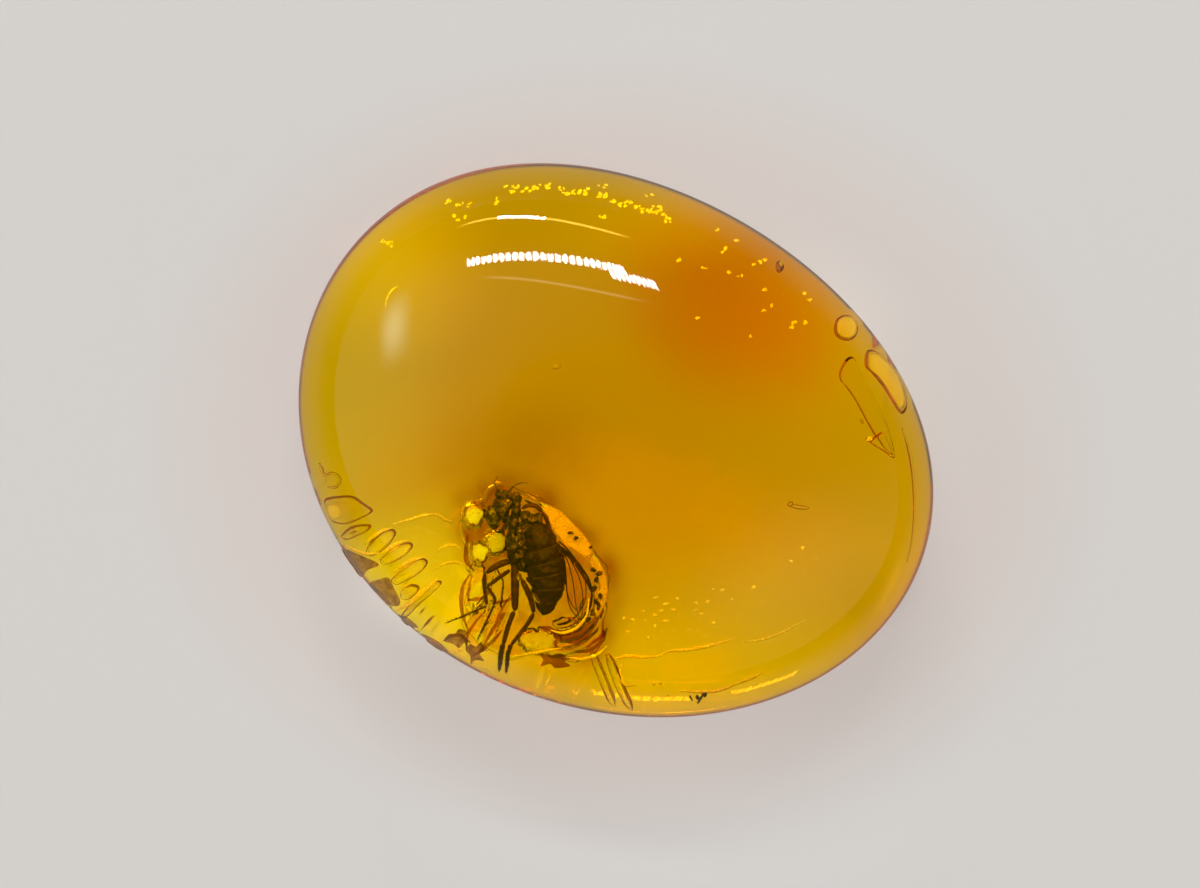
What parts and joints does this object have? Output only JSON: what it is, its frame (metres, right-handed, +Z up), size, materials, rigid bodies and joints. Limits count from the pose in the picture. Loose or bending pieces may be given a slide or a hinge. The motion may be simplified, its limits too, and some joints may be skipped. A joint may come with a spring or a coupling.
{
  "type": "insect in amber",
  "caption": "Polished see-through amber cabochon, an egg-shaped dome on a flat back, with one small winged insect sealed near its rim.",
  "frame": {"origin": "middle of the flat ground back, on the surface that the stone rests on", "axes": "+X along the stone's length towards its narrower end, +Y across it, +Z up out of the flat back through the dome"},
  "size_m": [0.016, 0.0128, 0.0052],
  "materials": {
    "amber": "polished, see-through, honey to orange",
    "insect_cuticle": "dark brown insect cuticle, sealed inside",
    "insect_wing": "thin brown-veined wing membrane, sealed inside"
  },
  "bodies": {
    "root": {"amber": "amber"}
  },
  "joints": []
}
